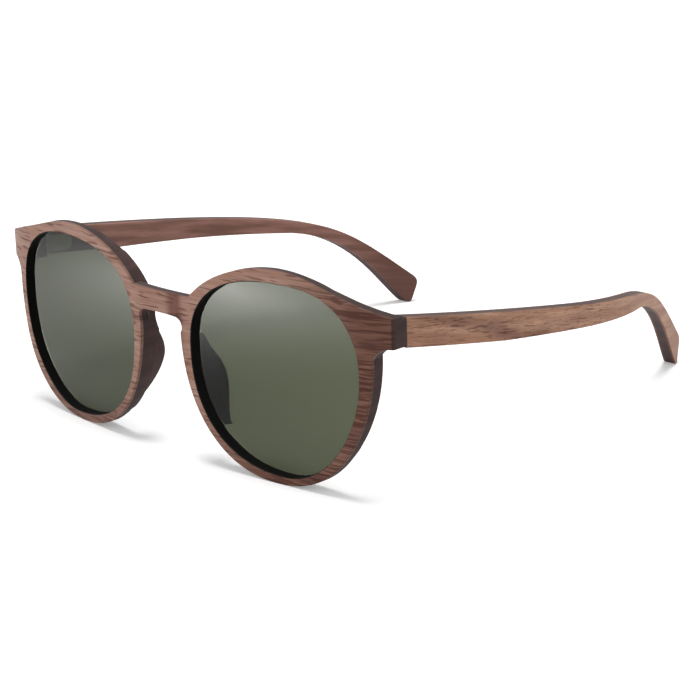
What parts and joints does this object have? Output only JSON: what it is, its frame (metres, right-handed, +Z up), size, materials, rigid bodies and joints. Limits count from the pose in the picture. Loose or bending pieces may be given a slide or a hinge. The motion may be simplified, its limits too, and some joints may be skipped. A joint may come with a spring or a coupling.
{
  "type": "wooden sunglasses",
  "caption": "Round keyhole-bridge sunglasses: laminated walnut front over a dark core, tinted lenses, and curved wooden temples that fold in on screwed steel hinges.",
  "frame": {"origin": "on the surface it stands on, under the middle of its bounding box", "axes": "+X to the wearer's left, -Y the way the lenses face, +Z up"},
  "size_m": [0.1492, 0.1434, 0.0525],
  "materials": {
    "walnut": "satin",
    "dark_wood": "satin",
    "brown_wood": "satin",
    "tinted_lens": "polished",
    "steel": "satin"
  },
  "bodies": {
    "front": {"front_face": "walnut", "front_core": "dark_wood", "left_rim_lining": "brown_wood", "left_lens": "tinted_lens", "left_nose_pad": "brown_wood", "left_seat_leaf": "steel", "left_seat_screws": "steel", "left_pin_screw": "steel", "right_rim_lining": "brown_wood", "right_lens": "tinted_lens", "right_nose_pad": "brown_wood", "right_seat_leaf": "steel", "right_seat_screws": "steel", "right_pin_screw": "steel"},
    "left_temple": {"left_arm_leaf": "steel", "left_arm_screws": "steel", "left_temple_core": "dark_wood", "left_temple_outside": "walnut", "left_temple_lining": "brown_wood"},
    "right_temple": {"right_arm_leaf": "steel", "right_arm_screws": "steel", "right_temple_core": "dark_wood", "right_temple_outside": "walnut", "right_temple_lining": "brown_wood"}
  },
  "joints": [
    {"name": "left_temple_fold", "type": "hinge", "parent": "front", "child": "left_temple", "pos_m": [0.06414, -0.05606, 0.0405], "axis": [0, 0, 1], "range_deg": [0, 83]},
    {"name": "right_temple_fold", "type": "hinge", "parent": "front", "child": "right_temple", "pos_m": [-0.06414, -0.05606, 0.0405], "axis": [0, 0, -1], "range_deg": [0, 75]}
  ]
}
